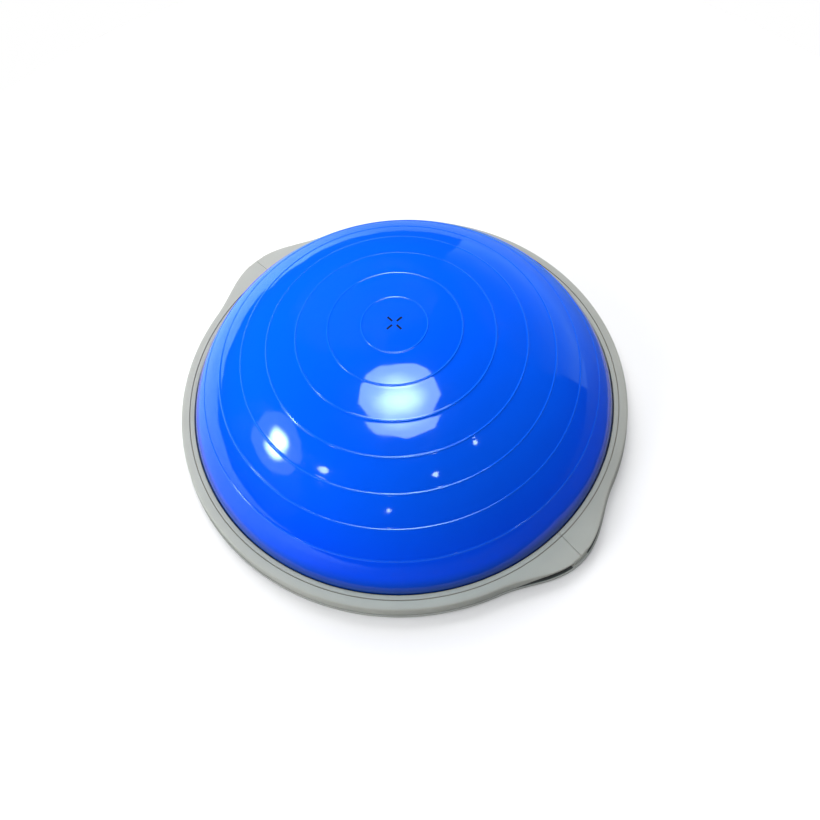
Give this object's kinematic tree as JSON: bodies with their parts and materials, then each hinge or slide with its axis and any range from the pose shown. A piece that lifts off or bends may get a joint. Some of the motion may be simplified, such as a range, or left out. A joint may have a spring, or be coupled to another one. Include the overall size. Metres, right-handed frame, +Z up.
{
  "type": "balance dome trainer",
  "caption": "Half-ball balance trainer: a ridged inflatable dome clamped by a two-part rim with side handles onto a flat round platform with rubber feet.",
  "frame": {"origin": "on the floor, under the middle of the dome and of the overall box", "axes": "+X towards one handle and its seam, +Z up through the dome's crown, +Y completes the right-hand frame"},
  "size_m": [0.649, 0.6038, 0.19],
  "materials": {
    "dome_pvc": "glossy soft PVC, smooth with fine moulded ridges",
    "rim_plastic": "satin moulded polypropylene with a fine grain",
    "base_plastic": "satin moulded polypropylene with a fine grain",
    "valve_rubber": "soft black PVC",
    "plug_plastic": "white semi-gloss plastic",
    "foot_rubber": "matt black rubber",
    "screw_steel": "zinc plated"
  },
  "bodies": {
    "base": {"base_platform": "base_plastic", "support_tray": "base_plastic", "rim_half_front": "rim_plastic", "rim_half_rear": "rim_plastic", "handle_post_right": "rim_plastic", "handle_post_left": "rim_plastic", "bladder_floor": "dome_pvc", "valve_bezel": "base_plastic", "valve_seat": "valve_rubber", "foot_pad_1": "foot_rubber", "foot_pad_2": "foot_rubber", "foot_pad_3": "foot_rubber", "foot_pad_4": "foot_rubber", "foot_pad_5": "foot_rubber", "foot_pad_6": "foot_rubber", "foot_pad_7": "foot_rubber", "foot_pad_8": "foot_rubber", "rim_screws": "screw_steel", "post_screws": "screw_steel", "foot_screws": "screw_steel"},
    "dome": {"dome_bladder": "dome_pvc"},
    "plug": {"valve_plug": "plug_plastic"}
  },
  "joints": [
    {"name": "dome_press", "type": "slide", "parent": "base", "child": "dome", "axis": [0, 0, -1], "range_m": [0, 0.06], "stiffness_N_per_m": 15000, "deforming": ["dome_bladder"]},
    {"name": "valve_pull", "type": "slide", "parent": "base", "child": "plug", "axis": [0, 0, -1], "range_m": [0, 0.04]}
  ]
}
